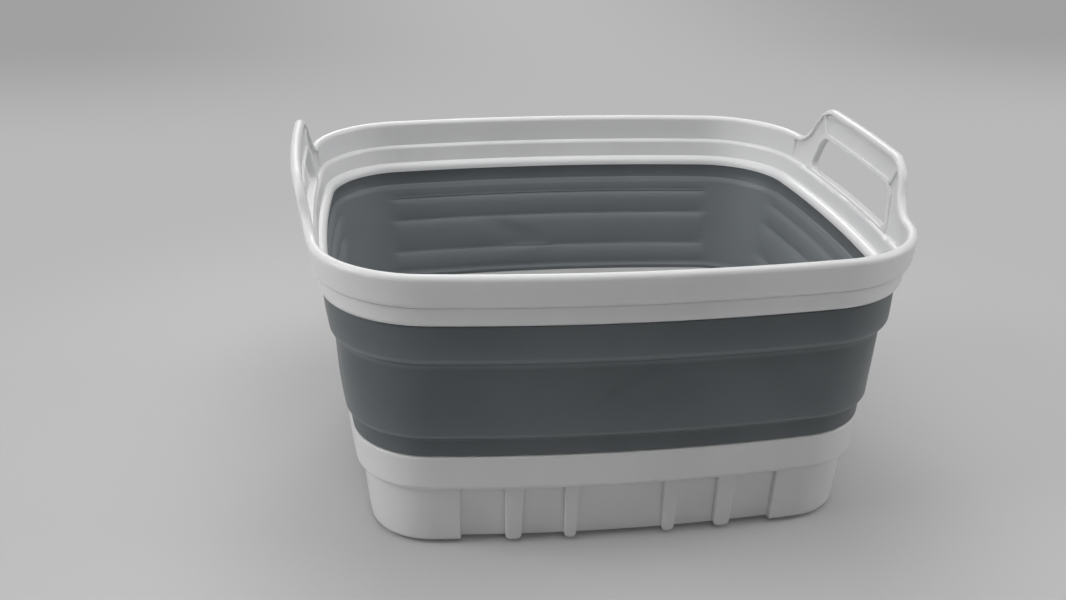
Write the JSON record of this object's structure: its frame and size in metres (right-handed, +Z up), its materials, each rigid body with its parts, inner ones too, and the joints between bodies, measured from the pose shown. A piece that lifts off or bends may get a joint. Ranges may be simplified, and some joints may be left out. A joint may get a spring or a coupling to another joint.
{
  "type": "collapsible washing up bowl",
  "caption": "Rectangular folding washing up bowl: white rim with upright loop handles, soft grey wall that folds flat, ribbed white base tray on small feet.",
  "frame": {"origin": "on the floor below the middle of the bowl, level with the undersides of the foot studs", "axes": "+X along the bowl's length towards one handle, +Y across its width, +Z up"},
  "size_m": [0.323, 0.285, 0.1835],
  "materials": {
    "white_plastic": "satin moulded",
    "grey_elastomer": "matte moulded",
    "stud_plastic": "satin moulded"
  },
  "bodies": {
    "base": {"base": "white_plastic", "foot_studs": "stud_plastic", "wall_lower_band": "grey_elastomer", "wall_fold_band": "grey_elastomer"},
    "rim": {"rim": "white_plastic", "wall_upper_band": "grey_elastomer"}
  },
  "joints": [
    {"name": "collapse", "type": "slide", "parent": "base", "child": "rim", "axis": [0, 0, 1], "range_m": [-0.08, 0], "deforming": ["wall_fold_band"]}
  ]
}
